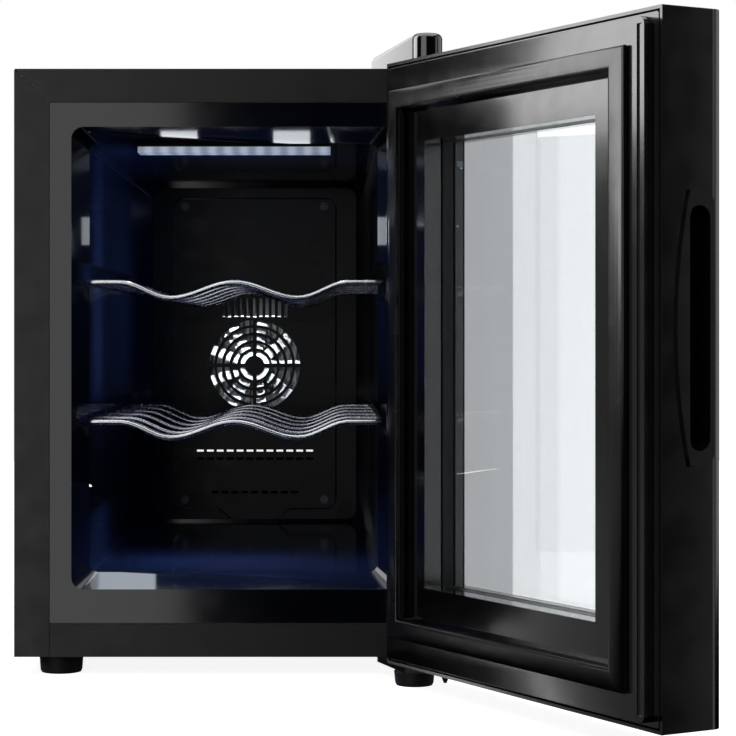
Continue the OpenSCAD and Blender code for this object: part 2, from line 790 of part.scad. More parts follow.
// Outer shell of the door: edge walls, front border and ledge for the outer glass
module door_outer_frame() {
    color("#19191b") swung() difference() {
        intersection() {
            union() {
                door_ring(0, door_wall, 0, door_t, 0.4, 0.4);
                door_ring(0.5, 6.2, door_t - 8, door_t, 0.4, 2);
                door_ring(1, 22, door_t - 7.2, door_t - 4.1, 0.4, 4);
            }
            slab_z(door_z0 - 1, door_z1 + 1) door_plan();
        }
        slab_x(-half_w - 2, -half_w + 6) handle_outline(0.3);
        rod_z(hinge_x, hinge_y, 6.2, door_z1 - 4, door_z1 + 1);
        rod_z(hinge_x, hinge_y, 6.2, door_z0 - 1, door_z0 + 4);
        rod_z(stop_x, stop_y, 1.9, door_z0 - 1, door_z0 + 4);
    }
}

// Strip of the door along the hinge edge, up to an inset
module hinge_edge(inset) {
    block(half_w - inset, half_w + 1, door_in_y - 5, door_in_y + 9, door_z0 - 1, door_z1 + 1);
}

// Chamfer down the hinge side of the margin, upright and square to the front in the open door
module shelf_clearance() {
    slab_z(door_z0 - 1, door_z1 + 1) polygon([
        [half_w - plateau_in + 1, door_in_y + clear_up - 0.55],
        [half_w - plateau_in + 1, door_in_y + plateau_up + 0.9],
        [half_w - clear_in - 1.64, door_in_y + plateau_up + 0.9]
    ]);
}

// Inner moulding of the door: base flange, raised margin with a bead down the free side,
// window frame inside the seal and walls that hold the panes
module door_inner_frame() {
    color("#1b1c20") swung() difference() {
        union() {
            door_ring(door_wall + 1.1, window_inset, 0, 3, 1.5, window_r);
            door_ring(plateau_in, seal_in + seal_w + 0.3, -plateau_up, 1, 4.5, 1);
            door_ring(33.5, window_inset, -face_up, 1, 1, window_r);
            door_ring(42, window_inset, 0.5, core_back, 6, window_r);
        }
        door_slab(glass_edge - 0.1, pane_1 - 0.1, pane_2 + glass_t + 0.1, 0.6);
        difference() {
            door_ring(plateau_in + 2.2, 21, -plateau_up + 2.2, 4, 2.4, 0.6);
            hinge_edge(clear_in + 2.2);
        }
        shelf_clearance();
        block(-half_w + 7.4, -half_w + 11.4, door_in_y + plateau_up - 1, door_in_y + 9,
            door_z0 + 9, door_z1 - 9);
        door_ring(23.4, 26.6, -plateau_up - 1, -plateau_up + 2.5, 3.4, 0.4);
        rod_z(stop_x, stop_y, 1.9, door_z0, door_z0 + 9);
    }
}

// Insulation inside the door
module door_foam() {
    color("#d8c98c") swung() difference() {
        union() {
            door_ring(door_wall + 1.5, 41.8, 3.2, core_back - 0.2, 0.4, 6);
            difference() {
                door_ring(plateau_in + 2.4, 20.8, -plateau_up + 2.4, 3.3, 2.2, 0.8);
                hinge_edge(clear_in + 2.4);
            }
        }
        slab_x(-half_w - 2, -half_w + 18.4) handle_outline(0.4);
        for (z = [door_z0 + 0.5, door_z1 - 22.5]) {
            block(hinge_x - 13.2, half_w - 1, hinge_y - 14, hinge_y + 13, z, z + 22);
        }
        rod_z(stop_x, stop_y, 1.9, door_z0, door_z0 + 9);
    }
}

// Dark plate behind the insulation, seen through the outer glass
module door_core_plate() {
    color("#101012") swung() difference() {
        door_ring(door_wall + 0.3, window_inset, core_back + 0.1, core_back + 1.2, 0.4, window_r);
        block(-half_w, -half_w + 20, door_out_y, door_in_y, handle_z - 66, handle_z + 66);
        for (z = [door_z0 + 0.5, door_z1 - 22.5]) {
            block(hinge_x - 13.2, half_w - 1, hinge_y - 14, hinge_y + 13, z, z + 22);
        }
    }
}

// Magnetic seal: soft hollow strip, higher towards the window, with a root pressed into
// the groove of the margin
module door_gasket() {
    far = seal_in + seal_w;
    foot = -plateau_up - 0.1;
    color("#2e2f33") swung() difference() {
        union() {
            door_ring(seal_in, far, -seal_h + 1.5, foot, 1.5, 0.6);
            door_ring(seal_in + 2, far - 0.3, -seal_h + 0.7, foot, 1.5, 0.6);
            door_ring(seal_in + 5, far - 0.8, -seal_h, foot, 1, 0.6);
            door_ring(23.6, 26.4, foot - 1, foot + 2.4, 3.2, 0.6);
        }
        door_ring(seal_in + 3, far - 1.5, -seal_h + 1.7, foot - 1, 0.6, 0.6);
    }
}

// Four magnet bars inside the seal
module gasket_magnets() {
    v0 = -seal_h + 1.9;
    v1 = -plateau_up - 1.3;
    near = seal_in + 3.2;
    far = seal_in + seal_w - 1.7;
    color("#4a4640") swung() {
        for (s = [-1, 1]) scale([s, 1, 1]) block(half_w - far, half_w - near,
            door_in_y - v1, door_in_y - v0, door_z0 + far + 2, door_z1 - far - 2);
        for (z = [door_z0 + near, door_z1 - far]) block(-half_w + far + 2, half_w - far - 2,
            door_in_y - v1, door_in_y - v0, z, z + far - near);
    }
}

module inner_glass() {
    color("#cfe0e8") swung() door_slab(glass_edge, pane_1, pane_1 + glass_t - 0.1);
}

// Aluminium bar frame that keeps the two inner panes apart
module glass_spacer() {
    color("#9aa0a6") swung() {
        door_ring(glass_edge + 0.1, window_inset - 0.1, pane_1 + glass_t, pane_2 - 0.1, 1, window_r);
    }
}

module middle_glass() {
    color("#cfe0e8") swung() door_slab(glass_edge, pane_2, pane_2 + glass_t);
}

module outer_glass() {
    color("#b8c8d0") swung() door_slab(6.4, door_t - 4, door_t, 2);
}

// Printed border on the back of the outer glass, taller at the top round the display
module glass_border() {
    color("#060607") swung() slab_y(door_out_y + 4.02, door_out_y + 4.08) difference() {
        door_outline(6.6, 1);
        rounded(-half_w + 24, half_w - 24, door_z0 + 24, door_z1 - 43, 4);
        rounded(-26, 26, door_z1 - 40, door_z1 - 27, 1.5);
    }
}

// Display with its driver board behind the printed border
module display_window() {
    color("#20323c") swung() slab_y(door_out_y + 7.4, door_out_y + 8.4) {
        rounded(-25, 25, door_z1 - 39, door_z1 - 28, 1.2);
    }
}

module display_board() {
    color("#2f5a38") swung() union() {
        slab_y(door_out_y + 9.6, door_out_y + 11.2) rounded(-32, 32, door_z1 - 42, door_z1 - 25, 1);
        slab_y(door_out_y + 8.5, door_out_y + 9.7) rounded(-24, 24, door_z1 - 38, door_z1 - 29, 1);
        block(-30, -26, door_out_y + 11, door_out_y + 13, door_z1 - 40, door_z1 - 30);
    }
}

// Cup outline of the handle pocket in depth and height
module handle_outline(grow) {
    rounded(door_in_y - 31.6 - grow, door_in_y - 14.8 + grow, handle_z - handle_len / 2 + 6 - grow,
        handle_z + handle_len / 2 - 6 + grow, 7.6 + grow);
}

// Handle: plate on the door edge with a finger pocket and a curved grip lip
module handle_insert() {
    half = handle_len / 2;
    lip = 66;
    bulge = 7.1;
    lip_r = (lip * lip + bulge * bulge) / (2 * bulge);
    color("#111113") swung() difference() {
        union() {
            slab_x(-half_w + 0.05, -half_w + 18) handle_outline(0);
            slab_x(-half_w - 0.9, -half_w - 0.05) {
                rounded(door_in_y - 32.6, door_in_y - 14.6, handle_z - half, handle_z + half, 7);
            }
            slab_x(-half_w - 0.1, -half_w + 0.1) handle_outline(-0.5);
            slab_x(-half_w - 1.6, -half_w - 0.05) intersection() {
                translate([door_in_y - 8.7 - lip_r, handle_z]) circle(lip_r, $fn = 360);
                plain(door_in_y - 17.5, door_in_y - 5, handle_z - half, handle_z + half);
            }
        }
        slab_x(-half_w - 3, -half_w + 16) {
            rounded(door_in_y - 30, door_in_y - 16.4, handle_z - half + 8, handle_z + half - 8, 6.7);
        }
    }
}

// Block in the upper hinge corner of the door, bored for the pin
module door_top_bush() {
    color("#3a3b3f") swung() difference() {
        union() {
            block(hinge_x - 13, half_w - door_wall - 0.2, hinge_y - 11, hinge_y + 12,
                door_z1 - 22, door_z1 - door_wall - 0.1);
            rod_z(hinge_x, hinge_y, 6, door_z1 - 4, door_z1);
        }
        rod_z(hinge_x, hinge_y, pin_r + 0.05, door_z1 - 18, door_z1 + 1);
    }
}

module door_bottom_bush() {
    color("#3a3b3f") swung() difference() {
        union() {
            block(hinge_x - 13, half_w - door_wall - 0.2, hinge_y - 11, hinge_y + 12,
                door_z0 + door_wall + 0.1, door_z0 + 22);
            rod_z(hinge_x, hinge_y, 6, door_z0, door_z0 + 4);
        }
        rod_z(hinge_x, hinge_y, pin_r + 0.05, door_z0 - 1, door_z0 + 18);
    }
}

stop_x = hinge_x - 44.6;
stop_y = hinge_y + 15.8;

// Small lug under the lower edge of the door
module door_stop_lug() {
    color("#2a2b2e") swung() union() {
        translate([stop_x, stop_y, door_z0 - 4.2]) cylinder(h = 4.15, r1 = 0.9, r2 = 2.5, $fn = 48);
        rod_z(stop_x, stop_y, 1.8, door_z0 - 0.1, door_z0 + 8);
    }
}

outer_shell();
base_tray();
rear_panel();
rear_panel_screws();
rear_fan_guard();
inner_liner();
insulation_foam();
foam_back_plate();
cover_frame();
fan_cover();
fan_cover_screws();
cold_fan_frame();
cold_fan_rotor();
cold_sink();
spacer_block();
peltier_module();
hot_sink();
hot_fan_frame();
hot_fan_rotor();
power_board();
control_board();
board_posts();
temperature_sensor();
cable_gland();
light_housing();
light_lens();
led_strip();
foot_front_left();
foot_front_right();
foot_rear_left();
foot_rear_right();
top_hinge_plate();
top_hinge_pin();
top_hinge_cover();
top_hinge_screws();
bottom_hinge_bracket();
bottom_hinge_pin();
bottom_hinge_screws();
lower_shelf();
upper_shelf();
door_outer_frame();
door_inner_frame();
door_foam();
door_core_plate();
door_gasket();
gasket_magnets();
inner_glass();
glass_spacer();
middle_glass();
outer_glass();
glass_border();
display_board();
display_window();
handle_insert();
door_top_bush();
door_bottom_bush();
door_stop_lug();
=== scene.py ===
import json
import math

import bmesh
import bpy
from mathutils import Matrix, Vector


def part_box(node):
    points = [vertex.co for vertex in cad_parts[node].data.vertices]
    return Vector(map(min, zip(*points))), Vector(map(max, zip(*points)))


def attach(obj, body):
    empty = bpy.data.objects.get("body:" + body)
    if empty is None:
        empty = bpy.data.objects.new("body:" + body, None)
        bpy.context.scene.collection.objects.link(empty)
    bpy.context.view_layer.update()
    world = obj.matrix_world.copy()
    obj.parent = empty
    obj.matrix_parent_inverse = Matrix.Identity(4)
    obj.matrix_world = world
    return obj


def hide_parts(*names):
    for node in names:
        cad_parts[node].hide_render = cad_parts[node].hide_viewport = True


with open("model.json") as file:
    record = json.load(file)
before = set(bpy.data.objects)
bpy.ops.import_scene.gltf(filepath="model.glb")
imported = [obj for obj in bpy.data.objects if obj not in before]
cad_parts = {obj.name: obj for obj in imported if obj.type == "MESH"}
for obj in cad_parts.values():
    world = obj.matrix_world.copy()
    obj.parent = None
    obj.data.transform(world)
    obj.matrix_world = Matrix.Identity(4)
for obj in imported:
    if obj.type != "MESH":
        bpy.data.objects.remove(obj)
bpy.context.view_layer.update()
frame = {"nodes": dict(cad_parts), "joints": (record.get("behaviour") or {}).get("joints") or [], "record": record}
nodes = frame["nodes"]

MM = 0.001


# ---------- places, all worked out from the frame ----------

shell_low, shell_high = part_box("outer_shell")
centre_x = (shell_low.x + shell_high.x) / 2
front_y = shell_low.y
door_joint = next(j for j in frame["joints"] if j["name"] == "door_hinge")
hinge = Vector(door_joint["pos_m"])
open_angle = math.radians(-door_joint["range_deg"][0])
FOOT_ROOM = 13
zero_z = shell_low.z - FOOT_ROOM * MM


def at(x, y, z):
    """A point in metres from millimetres right of and behind the middle of the cabinet front, and
    above a level FOOT_ROOM under the cabinet."""
    return Vector((centre_x + x * MM, front_y + y * MM, zero_z + z * MM))


def height(z):
    """The inverse of at() for heights."""
    return (z - zero_z) / MM


def swing(point):
    """Takes a point of the shut door to where it stands in the open door."""
    turned = Matrix.Rotation(open_angle, 3, "Z") @ (point - hinge)
    return turned + hinge


half_w = (shell_high.x - shell_low.x) / 2 / MM
top_z = height(shell_high.z)
base_z = height(shell_low.z)
hinge_x = (hinge.x - centre_x) / MM
hinge_y = (hinge.y - front_y) / MM


# ---------- camera ----------

CAMERA_PLACE = (63.1, -1352.2, 215.5)
LENS, SENSOR = 105.16, 36
SHIFT_X, SHIFT_Y = 0.0476, -0.0448


def make_camera():
    """Level camera square to the cabinet front, right of its middle, with a shifted lens."""
    data = bpy.data.cameras.new("camera")
    camera = bpy.data.objects.new("camera", data)
    bpy.context.scene.collection.objects.link(camera)
    camera.location = at(*CAMERA_PLACE)
    camera.rotation_euler = (math.radians(90), 0, 0)
    data.sensor_width = SENSOR
    data.lens = LENS
    data.shift_x = SHIFT_X
    data.shift_y = SHIFT_Y
    data.clip_start = 0.05
    data.clip_end = 40
    bpy.context.scene.camera = camera


# ---------- materials ----------

class Shader:
    """A node material built round one Principled shader."""

    def __init__(self, name):
        self.material = bpy.data.materials.new(name)
        self.material.use_nodes = True
        self.nodes = self.material.node_tree.nodes
        self.links = self.material.node_tree.links
        self.principled = self.nodes["Principled BSDF"]
        self.coords = self.nodes.new("ShaderNodeTexCoord").outputs["Object"]

    def set(self, **values):
        for key, value in values.items():
            self.principled.inputs[key.replace("_", " ")].default_value = value
        return self

    def stretched(self, scale):
        mapping = self.nodes.new("ShaderNodeMapping")
        mapping.inputs["Scale"].default_value = scale
        self.links.new(self.coords, mapping.inputs["Vector"])
        return mapping.outputs["Vector"]

    def noise(self, scale, detail=3.0, vector=None):
        texture = self.nodes.new("ShaderNodeTexNoise")
        texture.inputs["Scale"].default_value = scale
        texture.inputs["Detail"].default_value = detail
        self.links.new(vector or self.coords, texture.inputs["Vector"])
        return texture.outputs["Fac"]

    def mapped(self, source, low, high, start=0.3, stop=0.7):
        node = self.nodes.new("ShaderNodeMapRange")
        node.inputs["From Min"].default_value = start
        node.inputs["From Max"].default_value = stop
        node.inputs["To Min"].default_value = low
        node.inputs["To Max"].default_value = high
        self.links.new(source, node.inputs["Value"])
        return node.outputs["Result"]

    def blend(self, source, first, second, start=0.3, stop=0.7):
        ramp = self.nodes.new("ShaderNodeValToRGB")
        ramp.color_ramp.elements[0].position = start
        ramp.color_ramp.elements[0].color = (*first, 1)
        ramp.color_ramp.elements[1].position = stop
        ramp.color_ramp.elements[1].color = (*second, 1)
        self.links.new(source, ramp.inputs["Fac"])
        return ramp.outputs["Color"]

    def color(self, source, first, second, start=0.3, stop=0.7):
        made = self.blend(source, first, second, start, stop)
        self.links.new(made, self.principled.inputs["Base Color"])
        return self

    def rough(self, source, low, high):
        self.links.new(self.mapped(source, low, high), self.principled.inputs["Roughness"])
        return self

    def bump(self, source, strength, distance):
        node = self.nodes.new("ShaderNodeBump")
        node.inputs["Strength"].default_value = strength
        node.inputs["Distance"].default_value = distance
        self.links.new(source, node.inputs["Height"])
        self.links.new(node.outputs["Normal"], self.principled.inputs["Normal"])
        return self


def moulded(name, dark, light, rough, grain=900, strength=0.12, shine=0.5, coat=0.0):
    """Moulded or painted surface: faint mottle, fine grain and slightly uneven gloss."""
    s = Shader(name)
    s.color(s.noise(14), dark, light)
    s.rough(s.noise(60), rough * 0.85, rough * 1.15)
    s.bump(s.noise(grain, 2.0), strength, 0.00005)
    return s.set(Specular_IOR_Level=shine, Coat_Weight=coat, Coat_Roughness=rough * 0.5)


def black_steel():
    return moulded("black_steel", (0.006, 0.006, 0.0062), (0.0085, 0.0085, 0.009), 0.36, 1400, 0.2)


def rear_steel():
    return moulded("rear_steel", (0.011, 0.011, 0.0115), (0.016, 0.016, 0.0165), 0.5, 1000, 0.3)


def gloss_liner():
    # Black gloss liner plastic. The navy tint in both base colours is painted light: it stands in for the blue
    # glow of the light bar on the liner.
    return moulded("gloss_liner", (0.0025, 0.0032, 0.007), (0.0035, 0.0045, 0.009), 0.09, 260, 0.04,
                   0.75)


def cover_plastic():
    return moulded("cover_plastic", (0.003, 0.003, 0.0033), (0.0045, 0.0045, 0.005), 0.3, 1500, 0.1,
                   0.3)


def white_plastic():
    return moulded("white_plastic", (0.74, 0.74, 0.76), (0.84, 0.84, 0.85), 0.4, 1200, 0.1)


def black_plastic():
    return moulded("black_plastic", (0.012, 0.012, 0.0125), (0.018, 0.018, 0.0185), 0.42)


def door_black():
    return moulded("door_black", (0.0025, 0.0025, 0.0027), (0.0035, 0.0035, 0.004), 0.15, 1300, 0.03,
                   0.9, 0.3)


def door_core():
    return moulded("door_core", (0.004, 0.004, 0.0042), (0.006, 0.006, 0.0063), 0.6)


def handle_plastic():
    return moulded("handle_plastic", (0.003, 0.003, 0.0032), (0.0045, 0.0045, 0.005), 0.2, 1300,
                   0.05, 0.7)


def bush_plastic():
    return moulded("bush_plastic", (0.02, 0.02, 0.021), (0.03, 0.03, 0.032), 0.4)


def gloss_cap():
    return moulded("gloss_cap", (0.004, 0.004, 0.0045), (0.006, 0.006, 0.0065), 0.12, 400, 0.04,
                   1.0, 1.0)


def rubber_foot():
    s = moulded("rubber_foot", (0.008, 0.008, 0.0085), (0.013, 0.013, 0.0135), 0.6, 700, 0.4)
    return s.set(Sheen_Weight=0.1, Sheen_Roughness=0.5)


def seal_rubber():
    s = moulded("seal_rubber", (0.005, 0.005, 0.0055), (0.008, 0.008, 0.0085), 0.24, 500, 0.08, 0.8)
    return s


def magnet():
    return moulded("magnet", (0.05, 0.045, 0.04), (0.07, 0.065, 0.06), 0.6, 1800, 0.4)


def ceramic():
    return moulded("ceramic", (0.78, 0.78, 0.76), (0.88, 0.88, 0.86), 0.5, 2200, 0.3)


def black_print():
    return moulded("black_print", (0.002, 0.002, 0.002), (0.0035, 0.0035, 0.0035), 0.08, 700, 0.03)


def foam():
    s = Shader("foam")
    cells = s.noise(420, 4.0)
    s.color(cells, (0.62, 0.53, 0.3), (0.8, 0.72, 0.46))
    s.bump(cells, 0.8, 0.0006)
    return s.set(Roughness=0.85, Subsurface_Weight=0.1)


def brushed(name, dark, light, rough, direction):
    """Metal with fine lines along one direction."""
    s = Shader(name)
    lines = s.noise(1.0, 2.0, s.stretched(direction))
    s.color(lines, dark, light)
    s.rough(lines, rough * 0.8, rough * 1.25)
    s.bump(lines, 0.15, 0.00003)
    return s.set(Metallic=1.0)


def zinc_sheet():
    s = Shader("zinc_sheet")
    spangle = s.nodes.new("ShaderNodeTexVoronoi")
    spangle.inputs["Scale"].default_value = 110
    s.links.new(s.coords, spangle.inputs["Vector"])
    s.color(spangle.outputs["Distance"], (0.42, 0.43, 0.45), (0.6, 0.61, 0.63), 0.1, 0.6)
    s.rough(spangle.outputs["Distance"], 0.3, 0.45)
    return s.set(Metallic=1.0)


def zinc_screws():
    return brushed("zinc_screws", (0.42, 0.43, 0.45), (0.6, 0.61, 0.63), 0.32, (900, 900, 900))


def black_screws():
    return moulded("black_screws", (0.02, 0.02, 0.021), (0.035, 0.035, 0.037), 0.3, 2500, 0.2, 0.8)


def hinge_steel():
    return brushed("hinge_steel", (0.34, 0.35, 0.37), (0.48, 0.49, 0.51), 0.3, (2400, 90, 90))


def bracket_steel():
    return moulded("bracket_steel", (0.009, 0.009, 0.0095), (0.014, 0.014, 0.0145), 0.35, 1400, 0.25)


def pin_steel():
    return brushed("pin_steel", (0.5, 0.5, 0.52), (0.68, 0.68, 0.7), 0.22, (60, 60, 3000))


def sink_aluminium():
    return brushed("sink_aluminium", (0.56, 0.58, 0.6), (0.74, 0.76, 0.78), 0.33, (1800, 1800, 40))


def spacer_aluminium():
    return brushed("spacer_aluminium", (0.03, 0.031, 0.033), (0.05, 0.051, 0.053), 0.4,
                   (700, 700, 60))


def brass_posts():
    return brushed("brass_posts", (0.62, 0.45, 0.18), (0.8, 0.62, 0.3), 0.3, (2500, 60, 2500))


def shelf_chrome():
    s = Shader("shelf_chrome")
    s.color(s.noise(45), (0.66, 0.67, 0.7), (0.8, 0.81, 0.84))
    s.rough(s.noise(260), 0.2, 0.3)
    s.bump(s.noise(900, 2.0), 0.06, 0.00004)
    return s.set(Metallic=1.0)


def circuit_board():
    """Green solder mask with a faint pattern of tracks."""
    s = Shader("circuit_board")
    tracks = s.nodes.new("ShaderNodeTexBrick")
    tracks.inputs["Scale"].default_value = 90
    tracks.inputs["Mortar Size"].default_value = 0.04
    tracks.inputs["Color1"].default_value = (0.02, 0.13, 0.045, 1)
    tracks.inputs["Color2"].default_value = (0.028, 0.17, 0.06, 1)
    tracks.inputs["Mortar"].default_value = (0.05, 0.26, 0.1, 1)
    s.links.new(s.coords, tracks.inputs["Vector"])
    s.links.new(tracks.outputs["Color"], s.principled.inputs["Base Color"])
    s.bump(tracks.outputs["Fac"], 0.2, 0.00005)
    return s.set(Roughness=0.3)


def display():
    s = moulded("display", (0.01, 0.024, 0.032), (0.014, 0.034, 0.045), 0.1, 700, 0.03)
    return s.set(Coat_Weight=1.0)


def glass(name, tint_a, tint_b):
    """Float glass with the faintest smears in its gloss."""
    s = Shader(name)
    s.color(s.noise(6), tint_a, tint_b)
    s.rough(s.noise(9, 5.0), 0.0, 0.02)
    return s.set(Transmission_Weight=1.0, IOR=1.5, Specular_IOR_Level=0.3)


def clear_glass():
    return glass("clear_glass", (0.96, 0.975, 0.98), (0.97, 0.98, 0.985))


def tinted_glass():
    return glass("tinted_glass", (0.615, 0.625, 0.635), (0.63, 0.64, 0.65))


def lens():
    """Opal cover of the light bar, brighter over each emitter."""
    s = Shader("lens")
    spots = s.nodes.new("ShaderNodeTexWave")
    spots.inputs["Scale"].default_value = 31
    spots.inputs["Distortion"].default_value = 0.4
    s.links.new(s.coords, spots.inputs["Vector"])
    glow = s.blend(spots.outputs["Fac"], (0.17, 0.2, 0.26), (0.36, 0.41, 0.5), 0.1, 0.9)
    s.links.new(glow, s.principled.inputs["Emission Color"])
    s.color(s.noise(40), (0.5, 0.55, 0.7), (0.6, 0.65, 0.8))
    return s.set(Emission_Strength=0.8, Roughness=0.15)


def led():
    s = Shader("led")
    s.color(s.noise(30), (0.7, 0.72, 0.8), (0.8, 0.82, 0.9))
    return s.set(Emission_Color=(0.55, 0.7, 1.0, 1.0), Emission_Strength=2.0, Roughness=0.4)


MAKERS = [black_steel, rear_steel, gloss_liner, cover_plastic, white_plastic, black_plastic,
          door_black, door_core, handle_plastic, bush_plastic, gloss_cap, rubber_foot, seal_rubber,
          magnet, ceramic, black_print, foam, zinc_sheet, zinc_screws, black_screws, hinge_steel,
          bracket_steel, pin_steel, sink_aluminium, spacer_aluminium, brass_posts, shelf_chrome,
          circuit_board, display, clear_glass, tinted_glass, lens, led]
materials = {make.__name__: make().material for make in MAKERS}
slot_of = {p["node"]: p["material_slot"] for p in frame["record"]["subparts"]}


def paint_nodes():
    for name, node in nodes.items():
        node.data.materials.clear()
        node.data.materials.append(materials[slot_of[name]])


# Width in millimetres of the rounded edges of each node
SOFT_EDGES = {"outer_shell": 0.35, "base_tray": 0.3, "door_outer_frame": 0.45,
              "door_inner_frame": 0.8, "cover_frame": 0.4, "fan_cover": 0.3, "handle_insert": 0.3,
              "light_housing": 0.3, "bottom_hinge_bracket": 0.3, "foot_front_left": 0.6,
              "foot_front_right": 0.6, "foot_rear_left": 0.6, "foot_rear_right": 0.6,
              "rear_panel": 0.2, "cable_gland": 0.4, "hot_fan_frame": 0.3,
              "cold_fan_frame": 0.3, "inner_liner": 0.5}


def soften_edges():
    """Small rounded edges that catch the light, made with modifiers on the CAD nodes."""
    for name, width in SOFT_EDGES.items():
        node = nodes[name]
        weld = node.modifiers.new("weld", "WELD")
        weld.merge_threshold = 0.00001
        flat = node.modifiers.new("flat", "DECIMATE")
        flat.decimate_type = "DISSOLVE"
        flat.angle_limit = math.radians(1)
        edge = node.modifiers.new("edge", "BEVEL")
        edge.width = width * MM
        edge.segments = 2
        edge.limit_method = "ANGLE"
        edge.angle_limit = math.radians(38)
        edge.use_clamp_overlap = True
        even = node.modifiers.new("even", "WEIGHTED_NORMAL")
        even.weight = 100
        even.keep_sharp = False


# ---------- mesh tools ----------

def mesh_piece(name, points, faces, slot, body, stands_for=(), smooth=True):
    """A piece from points in metres, riding on a body and taking the look of a material slot."""
    mesh = bpy.data.meshes.new(name)
    mesh.from_pydata([tuple(p) for p in points], [], faces)
    shape = bmesh.new()
    shape.from_mesh(mesh)
    bmesh.ops.remove_doubles(shape, verts=shape.verts, dist=1e-6)
    bmesh.ops.recalc_face_normals(shape, faces=shape.faces)
    for face in shape.faces:
        face.smooth = smooth
    shape.to_mesh(mesh)
    shape.free()
    if smooth:
        mesh.set_sharp_from_angle(angle=math.radians(40))
    piece = bpy.data.objects.new(name, mesh)
    bpy.context.scene.collection.objects.link(piece)
    mesh.materials.append(materials[slot])
    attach(piece, body)
    if stands_for:
        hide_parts(*stands_for)
    return piece


def tube(path, radius, sides, closed=False):
    """Points and faces of a round tube along a path in millimetres."""
    count = len(path)
    points, faces = [], []
    side = None
    for i, here in enumerate(path):
        before = path[i - 1] if closed or i > 0 else here
        after = path[(i + 1) % count] if closed or i < count - 1 else here
        along = (after - before).normalized()
        if side is None:
            side = along.orthogonal().normalized()
        side = (side - along * side.dot(along)).normalized()
        other = along.cross(side)
        for k in range(sides):
            angle = 2 * math.pi * k / sides
            points.append(here + radius * (math.cos(angle) * side + math.sin(angle) * other))
    for i in range(count if closed else count - 1):
        for k in range(sides):
            a, b = i * sides + k, i * sides + (k + 1) % sides
            c, d = ((i + 1) % count) * sides + (k + 1) % sides, ((i + 1) % count) * sides + k
            faces.append((a, b, c, d))
    if not closed:
        faces.append(tuple(range(sides)))
        faces.append(tuple((count - 1) * sides + k for k in range(sides)))
    return points, faces


def joined(parts):
    """Several lots of points and faces as one."""
    points, faces = [], []
    for more_points, more_faces in parts:
        shift = len(points)
        points += more_points
        faces += [tuple(i + shift for i in face) for face in more_faces]
    return points, faces


# ---------- shelves ----------

WIRE_R = 1.5
FRAME_R = 1.9
SHELF_CORNER = 3.5
FLAT_X = 73.3
TROUGH_X = 40.5
DOUBLE_GAP = 14


def wave(x, depth):
    """Height of a cross wire: level ends, a trough on each side and a crest in the middle."""
    if abs(x) >= FLAT_X:
        return 0.0
    far = abs(x) > TROUGH_X
    t = (FLAT_X - abs(x)) / (FLAT_X - TROUGH_X) if far else abs(x) / TROUGH_X
    return -depth * (1 - math.cos(math.pi * t)) / 2


def build_shelf(node):
    low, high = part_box(node)
    left, right = (low.x - centre_x) / MM + FRAME_R, (high.x - centre_x) / MM - FRAME_R
    near, far = (low.y - front_y) / MM + FRAME_R + 1, (high.y - front_y) / MM - FRAME_R - 1
    flat_z = height(high.z) - FRAME_R - 0.1
    depth = (high.z - low.z) / MM - FRAME_R - 0.1 - WIRE_R
    corners = [(right, near, -90), (right, far, 0), (left, far, 90), (left, near, 180)]
    loop = []
    for x, y, start in corners:
        cx = x - math.copysign(SHELF_CORNER, x)
        cy = y + SHELF_CORNER if y == near else y - SHELF_CORNER
        for step in range(9):
            a = math.radians(start + step * 90 / 8)
            loop.append((cx + SHELF_CORNER * math.cos(a), cy + SHELF_CORNER * math.sin(a)))
    frame_path = []
    for i, (x, y) in enumerate(loop):
        nx, ny = loop[(i + 1) % len(loop)]
        steps = 40 if abs(nx - x) > 60 else 1
        for k in range(steps):
            px = x + (nx - x) * k / steps
            py = y + (ny - y) * k / steps
            frame_path.append(Vector((px, py, flat_z + wave(px, depth))))
    parts = [tube(frame_path, FRAME_R, 12, closed=True)]
    inner_pitch = (far - near) / 5
    rows = [near + DOUBLE_GAP] + [near + inner_pitch * i for i in range(1, 5)]
    for y in rows:
        wire = []
        for k in range(61):
            x = left + (right - left) * k / 60
            wire.append(Vector((x, y, flat_z + wave(x, depth))))
        parts.append(tube(wire, WIRE_R, 12))
    points, faces = joined(parts)
    points = [at(*p) for p in points]
    return mesh_piece(node + "_wires", points, faces, "shelf_chrome", node, (node,))


# ---------- door seal ----------

# Section of the seal: distance in from the door's edge, height above the rim of the door
SEAL_PROFILE = [(19.6, 7.4), (18.9, 8.2), (18.9, 9.6), (19.3, 10.3), (20.4, 10.8), (22.6, 11.3),
                (25.6, 11.7), (28.4, 11.9), (29.6, 11.85), (30.3, 11.5), (30.5, 10.8), (30.5, 8.2),
                (30.0, 7.4)]


RIM_FROM_HINGE = 20.6
DOOR_GAP = 0.8


def build_seal():
    """Soft strip with mitred corners, all round the inner face of the door."""
    inner_y = hinge_y + RIM_FROM_HINGE
    low_z, high_z = base_z + DOOR_GAP, top_z - DOOR_GAP
    points, faces = [], []
    for inset, depth in SEAL_PROFILE:
        y = inner_y + depth
        x0, x1 = -half_w + inset, half_w - inset
        z0, z1 = low_z + inset, high_z - inset
        for x, z in [(x0, z0), (x1, z0), (x1, z1), (x0, z1)]:
            points.append(swing(at(x, y, z)))
    rings = len(SEAL_PROFILE)
    for i in range(rings):
        j = (i + 1) % rings
        for k in range(4):
            m = (k + 1) % 4
            faces.append((i * 4 + k, i * 4 + m, j * 4 + m, j * 4 + k))
    return mesh_piece("door_gasket_lip", points, faces, "seal_rubber", "door", ("door_gasket",))


# ---------- hinge cover ----------

def outline(circles, inset, steps=72):
    """Points of the tight outline round three circles, each pulled in by inset."""
    found = []
    for k in range(steps):
        a = 2 * math.pi * k / steps
        way = Vector((math.cos(a), math.sin(a)))
        best = max(circles, key=lambda c: way.x * c[0] + way.y * c[1] + c[2] - inset)
        found.append((best[0] + way.x * (best[2] - inset), best[1] + way.y * (best[2] - inset)))
    return found


